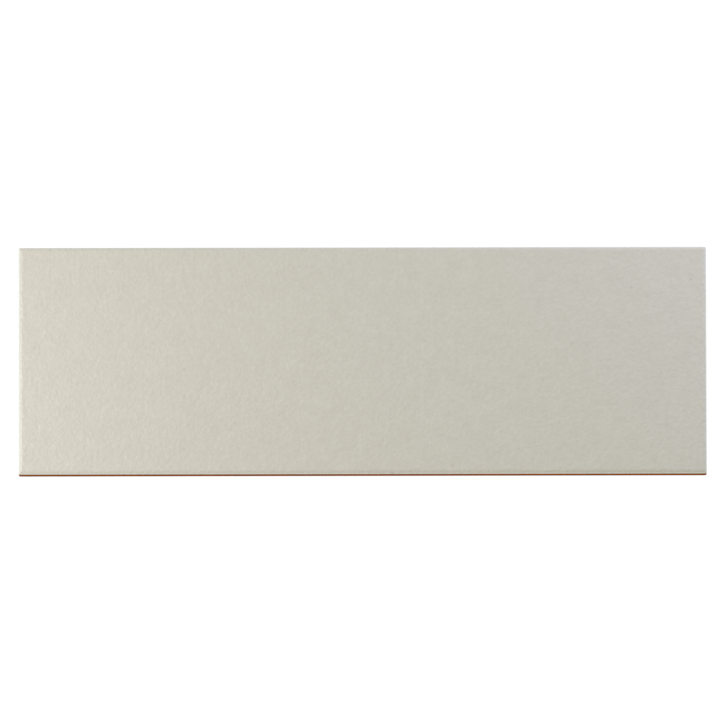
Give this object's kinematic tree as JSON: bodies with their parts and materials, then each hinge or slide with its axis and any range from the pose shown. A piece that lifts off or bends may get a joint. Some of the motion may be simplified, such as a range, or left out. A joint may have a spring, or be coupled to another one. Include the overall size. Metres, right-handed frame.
{
  "type": "wall tile",
  "caption": "Rectangular ceramic wall tile: pale satin glazed face with a cushioned rim, square sides of bare red clay, and a pocketed back that keys into adhesive.",
  "frame": {"origin": "centre of the back, on the plane of its ribs, which is the plane the tile lies on", "axes": "+X along the length, +Y along the width, +Z out of the glazed face"},
  "size_m": [0.3, 0.1, 0.009],
  "materials": {
    "glazed_clay": "satin warm-grey glaze with a fine orange-peel grain over the face and rim; bare terracotta sides and back"
  },
  "bodies": {
    "root": {"wall_tile": "glazed_clay"}
  },
  "joints": []
}
